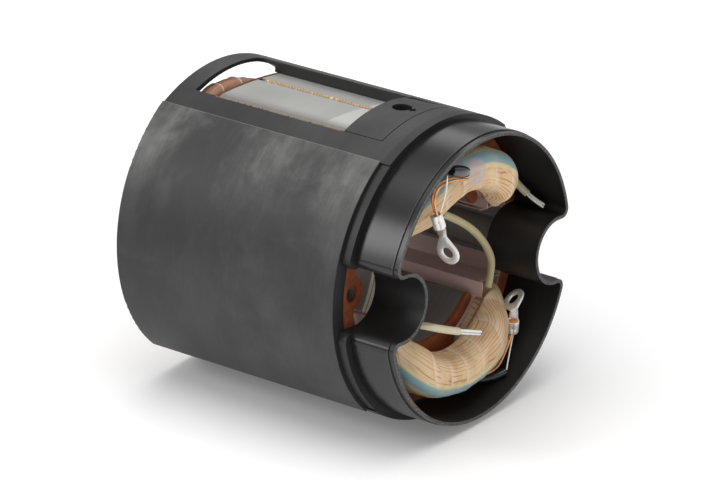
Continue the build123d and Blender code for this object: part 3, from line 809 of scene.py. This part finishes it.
def terminal_mesh(name, foot, centre, along, normal, reach):
    """The terminal, and the route of the wire ends in its crimp."""
    foot, centre, normal = Vector(foot), Vector(centre), Vector(normal)
    along = Vector(along).normalized()
    normal = (normal - along * normal.dot(along)).normalized()
    across = normal.cross(along)
    neck = centre - along * reach
    axis = (neck - foot).normalized()
    face = (DENT_SIDE - axis * DENT_SIDE.dot(axis)).normalized()
    side = axis.cross(face)
    plate_side = (-across, -normal) if side.dot(across) < 0 else (across, normal)
    bm = bmesh.new()
    skin(bm, plate_rows(centre, along, across, normal, reach))
    skin(bm, barrel_rows(foot, axis, face))
    start = foot + axis * 3.4 - face * 1.62
    skin(bm, neck_rows(start, neck + along * 0.5, (side, face), plate_side), ring=False)
    bmesh.ops.recalc_face_normals(bm, faces=bm.faces)
    return mesh_object(name, bm), [tuple(foot + axis * up) for up in (0.2, 2.0, 4.0)]


# ---------------------------------------------------------------- repeats

BEAD_START = (0.0, 43.75 * MM, 17.4 * MM)
BEAD_LUMPS = {"Count": 72, "Step": 0.66 * MM, "Lump": 0.52 * MM, "Stray": 0.22 * MM, "Seed": 7}


def lump_tree(material):
    """Lumps of weld set along a line, with named inputs."""
    tree = bpy.data.node_groups.new("weld_lumps", "GeometryNodeTree")
    tree.interface.new_socket("Geometry", in_out="OUTPUT", socket_type="NodeSocketGeometry")
    for name, value in BEAD_LUMPS.items():
        kind = "NodeSocketInt" if isinstance(value, int) else "NodeSocketFloat"
        tree.interface.new_socket(name, in_out="INPUT", socket_type=kind)

    def add(kind, settings=None, **inputs):
        """A node; _0 and _1 stand for the first two inputs, and the others go by name."""
        made = tree.nodes.new(kind)
        for key, value in (settings or {}).items():
            setattr(made, key, value)
        for key, value in inputs.items():
            digits = key[1:]
            socket = made.inputs[int(digits) if digits.isdigit() else key]
            if hasattr(value, "is_linked"):
                tree.links.new(value, socket)
            else:
                socket.default_value = value
        return made

    vector, scale = {"data_type": "FLOAT_VECTOR"}, {"operation": "SCALE"}
    given = tree.nodes.new("NodeGroupInput").outputs
    step = add("ShaderNodeCombineXYZ", Z=given["Step"])
    line = add("GeometryNodeMeshLine", Count=given["Count"], Offset=step.outputs[0])
    stray = add("FunctionNodeRandomValue", vector, _0=(-1.0, -0.6, -0.8), _1=(1.0, 0.6, 0.8),
                Seed=given["Seed"])
    moved = add("ShaderNodeVectorMath", scale, _0=stray.outputs[0], Scale=given["Stray"])
    points = add("GeometryNodeSetPosition", Geometry=line.outputs[0], Offset=moved.outputs[0])
    ball = add("GeometryNodeMeshIcoSphere", Radius=1.0, Subdivisions=2)
    size = add("FunctionNodeRandomValue", vector, _0=(0.75, 0.55, 0.7), _1=(1.3, 1.0, 1.5),
               Seed=given["Seed"])
    scaled = add("ShaderNodeVectorMath", scale, _0=size.outputs[0], Scale=given["Lump"])
    lumps = add("GeometryNodeInstanceOnPoints", Points=points.outputs[0], Instance=ball.outputs[0],
                Scale=scaled.outputs[0])
    whole = add("GeometryNodeRealizeInstances", Geometry=lumps.outputs[0])
    smooth = add("GeometryNodeSetShadeSmooth", Geometry=whole.outputs[0])
    dressed = add("GeometryNodeSetMaterial", Geometry=smooth.outputs[0], Material=material)
    tree.links.new(dressed.outputs[0], tree.nodes.new("NodeGroupOutput").inputs[0])
    return tree


def grown_mesh(name, tree, inputs):
    """The plain mesh that a node tree makes from its inputs."""
    holder = linked(name, bpy.data.meshes.new(name))
    grower = holder.modifiers.new("grow", "NODES")
    grower.node_group = tree
    for item in tree.interface.items_tree:
        if item.in_out == "INPUT":
            grower[item.identifier] = inputs[item.name]
    holder.update_tag()
    shown = holder.evaluated_get(bpy.context.evaluated_depsgraph_get())
    mesh = bpy.data.meshes.new_from_object(shown)
    holder.modifiers.remove(grower)
    holder.data = mesh
    return holder


# ---------------------------------------------------------------- stage

CAMERA_PLACE = Matrix((
    (0.60434, 0.22375, -0.76466, -1.0902),
    (0.05267, 0.94644, 0.31857, 0.4553),
    (0.79499, -0.23280, 0.56018, 0.8549),
    (0.0, 0.0, 0.0, 1.0)))
TABLE_UP = Vector((-0.0868, 0.9962, 0.0))
AHEAD = Vector((0.0, 0.0, 1.0))
MIDDLE = 0.05           # of the part along its axis, in m
TABLE_HALF = 3.0        # in m
GLOW_FAR = 0.22         # more glow away from the part, so that the far table is white
# name, place from the part's middle, size in m, share of the key light's power
LAMPS = (
    ("key", TABLE_UP * 0.62 + Vector((-0.10, 0.0, 0.02)), 0.70, 1.0),
    ("side", Vector((-0.60, 0.36, -0.46)), 0.34, 0.47),
    ("rim", Vector((0.47, 0.52, -0.47)), 0.32, 0.11),
    ("front", Vector((0.15, 0.20, 0.70)), 0.40, 0.12),
)


def add_camera(scene, stage):
    camera = bpy.data.cameras.new("camera")
    camera.lens = stage.lens
    camera.sensor_width = 36.0
    camera.clip_start = 0.1
    camera.clip_end = 10.0
    scene.camera = linked("camera", camera)
    scene.camera.matrix_world = CAMERA_PLACE


def add_table(stage):
    """A white table that gives off a little light and is clear from below."""
    across = TABLE_UP.cross(AHEAD)
    middle = TABLE_UP * (-stage.floor * MM) + AHEAD * MIDDLE
    bm = bmesh.new()
    corners = [bm.verts.new(middle + across * (a * TABLE_HALF) + AHEAD * (b * TABLE_HALF))
               for a, b in ((-1, -1), (-1, 1), (1, 1), (1, -1))]
    face = bm.faces.new(corners)
    face.normal_update()
    if face.normal.dot(TABLE_UP) < 0:
        face.normal_flip()
    table = mesh_object("table", bm)
    s = Shade(bpy.data.materials.new("table"))
    away = s.node("ShaderNodeVectorMath", {"operation": "LENGTH"}, {0: s.spot()}, out="Value")
    glow = s.mix(away.step(0.10, 0.30), (stage.glow,) * 3, (stage.glow + GLOW_FAR,) * 3)
    lit = s.principled(Base_Color=(0.86, 0.86, 0.86), Roughness=0.9, Specular_IOR_Level=0.0,
                       Emission_Color=glow, Emission_Strength=1.0)
    back = s.node("ShaderNodeNewGeometry", out="Backfacing")
    clear = s.node("ShaderNodeBsdfTransparent")
    s.join(s.surface, s.node("ShaderNodeMixShader", values={0: back, 1: lit, 2: clear}))
    table.data.materials.append(s.owner)


def add_world(scene, stage):
    """Soft light from all round, seen as plain white."""
    scene.world = bpy.data.worlds.new("world")
    s = Shade(scene.world, "ShaderNodeOutputWorld")
    through = s.node("ShaderNodeLightPath", out="Is Transmission Ray")
    seen = s.node("ShaderNodeLightPath", out="Is Camera Ray").math("MAXIMUM", through)
    soft = s.node("ShaderNodeBackground", values={0: WHITE, 1: stage.fill})
    plain = s.node("ShaderNodeBackground", values={0: WHITE, 1: 1.0})
    s.join(s.surface, s.node("ShaderNodeMixShader", values={0: seen, 1: soft, 2: plain}))


def add_lamps(stage):
    for name, place, size, share in LAMPS:
        lamp = bpy.data.lights.new(name, "AREA")
        lamp.shape = "DISK"
        lamp.size = size
        lamp.energy = stage.key * share
        holder = linked(name, lamp)
        holder.rotation_mode = "QUATERNION"
        holder.location = place + AHEAD * MIDDLE
        holder.rotation_quaternion = (-place).to_track_quat("-Z", "Y")


# ---------------------------------------------------------------- operators

class STATOR_OT_stage(bpy.types.Operator):
    """Table, light and camera"""
    bl_idname = "stator.stage"
    bl_label = "Stage"

    def execute(self, context):
        scene = context.scene
        add_camera(scene, scene.stator_stage)
        add_table(scene.stator_stage)
        add_world(scene, scene.stator_stage)
        add_lamps(scene.stator_stage)
        scene.view_settings.view_transform = "Standard"
        return {"FINISHED"}


class STATOR_OT_finishes(bpy.types.Operator):
    """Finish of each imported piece"""
    bl_idname = "stator.finishes"
    bl_label = "Finishes"

    def execute(self, context):
        for part in frame["record"]["subparts"]:
            dress(frame["nodes"][part["node"]], part["material_slot"])
        return {"FINISHED"}


class STATOR_OT_coils(bpy.types.Operator):
    """Two taped windings"""
    bl_idname = "stator.coils"
    bl_label = "Taped coils"

    def execute(self, context):
        scene = context.scene
        for node, up, seed in (("upper_coil", 1, 1.0), ("lower_coil", -1, 2.3)):
            piece = coil_mesh(scene.stator_coil, node + "_taped", up, seed,
                              scene.stator_look.tape_pitch)
            dress(piece, "tape")
            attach(piece, "root")
            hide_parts(node)
        return {"FINISHED"}


class STATOR_OT_ties(bpy.types.Operator):
    """String drawn tight round the upper coil's rear end"""
    bl_idname = "stator.ties"
    bl_label = "Ties"

    def execute(self, context):
        c = context.scene.stator_coil
        for node, x in TIES:
            points = coil_section(c, (x, c.rear_bend), (0.0, -1.0), TIE_POINTS)
            middle = sum(points, Vector()) / len(points)
            run = []
            for k, point in enumerate(points):
                out = (point - middle).normalized()
                sway = TIE_SWAY * math.sin(FULL_TURN * k / len(points))
                run.append((point - out * TIE_SINK + Vector((sway, 0, 0)), 1.0))
            piece = wire_object(node + "_string", [run], TIE_R, "thread", smooth=6, sides=4,
                                closed=True)
            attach(piece, "root")
            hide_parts(node)
        return {"FINISHED"}


class STATOR_OT_leads(bpy.types.Operator):
    """Leads, magnet wires and sleeves"""
    bl_idname = "stator.leads"
    bl_label = "Leads and wires"

    def execute(self, context):
        runs = (
            ("crossover_lead", CROSSOVER, LEAD_R, "lead_cover", {}),
            ("lead_a", LEAD_A, LEAD_R, "lead_cover", {}),
            ("lead_a_core", CORE_A, CORE_R, "tin", {"bundle": BUNDLE}),
            ("lead_b", LEAD_B, LEAD_R, "lead_cover", {}),
            ("lead_b_core", CORE_B, CORE_R, "tin", {"bundle": BUNDLE}),
            ("wire_a_inner", WIRE_A, WIRE_R, "copper", {}),
            ("wire_a_outer", shifted(WIRE_A, WIRE_A_SHIFT), WIRE_R, "copper", {}),
            ("strand_a", STRAND_A, STRAND_R, "tin", {}),
            ("wire_b_inner", WIRE_B, WIRE_R, "copper", {}),
            ("wire_b_outer", shifted(WIRE_B, WIRE_B_SHIFT), WIRE_R, "copper", {}),
            ("strand_b", STRAND_B, STRAND_R, "tin", {}),
            ("shrink_sleeve_a", SLEEVE_A, SLEEVE_R, "shrink", {"swell": SWELL_A}),
            ("shrink_sleeve_b", SLEEVE_B, SLEEVE_R, "shrink", {}),
        )
        for node, points, radius, slot, more in runs:
            piece = strand_object(node + "_run", points, radius, slot, **more)
            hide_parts(node)
            if node == "crossover_lead":
                [v * MM for v in points[0]]
        return {"FINISHED"}


class STATOR_OT_terminals(bpy.types.Operator):
    """Ring terminals with rolled crimps"""
    bl_idname = "stator.terminals"
    bl_label = "Ring terminals"

    def execute(self, context):
        for node, foot, centre, along, normal, reach in TERMINALS:
            piece, inside = terminal_mesh(node + "_formed", foot, centre, along, normal, reach)
            dress(piece, "tin")
            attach(piece, "root")
            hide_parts(node)
            strand_object(node + "_wire_ends", inside, CRIMPED_R, "copper")
        return {"FINISHED"}


class STATOR_OT_bead(bpy.types.Operator):
    """Lumps on the weld bead in the window"""
    bl_idname = "stator.bead"
    bl_label = "Weld lumps"

    def execute(self, context):
        piece = grown_mesh("weld_lumps", lump_tree(finish_named("weld")), BEAD_LUMPS)
        piece.data.transform(Matrix.Translation(BEAD_START))
        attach(piece, "root")
        return {"FINISHED"}


STEPS = (STATOR_OT_stage, STATOR_OT_finishes, STATOR_OT_coils, STATOR_OT_ties, STATOR_OT_leads,
         STATOR_OT_terminals, STATOR_OT_bead)


class STATOR_PT_panel(bpy.types.Panel):
    bl_label = "Stator"
    bl_idname = "STATOR_PT_panel"
    bl_space_type = "VIEW_3D"
    bl_region_type = "UI"
    bl_category = "Stator"

    def draw(self, context):
        for operator in STEPS:
            self.layout.operator(operator.bl_idname)


CLASSES = (StatorLook, StatorCoil, StatorStage, *STEPS, STATOR_PT_panel)


def register():
    for cls in CLASSES:
        bpy.utils.register_class(cls)
    bpy.types.Scene.stator_look = bpy.props.PointerProperty(type=StatorLook)
    bpy.types.Scene.stator_coil = bpy.props.PointerProperty(type=StatorCoil)
    bpy.types.Scene.stator_stage = bpy.props.PointerProperty(type=StatorStage)


def unregister():
    del bpy.types.Scene.stator_stage
    del bpy.types.Scene.stator_coil
    del bpy.types.Scene.stator_look
    for cls in reversed(CLASSES):
        bpy.utils.unregister_class(cls)


def main():
    register()
    bpy.ops.stator.stage()
    bpy.ops.stator.finishes()
    bpy.ops.stator.coils()
    bpy.ops.stator.ties()
    bpy.ops.stator.leads()
    bpy.ops.stator.terminals()
    bpy.ops.stator.bead()


if __name__ == "__main__":
    main()
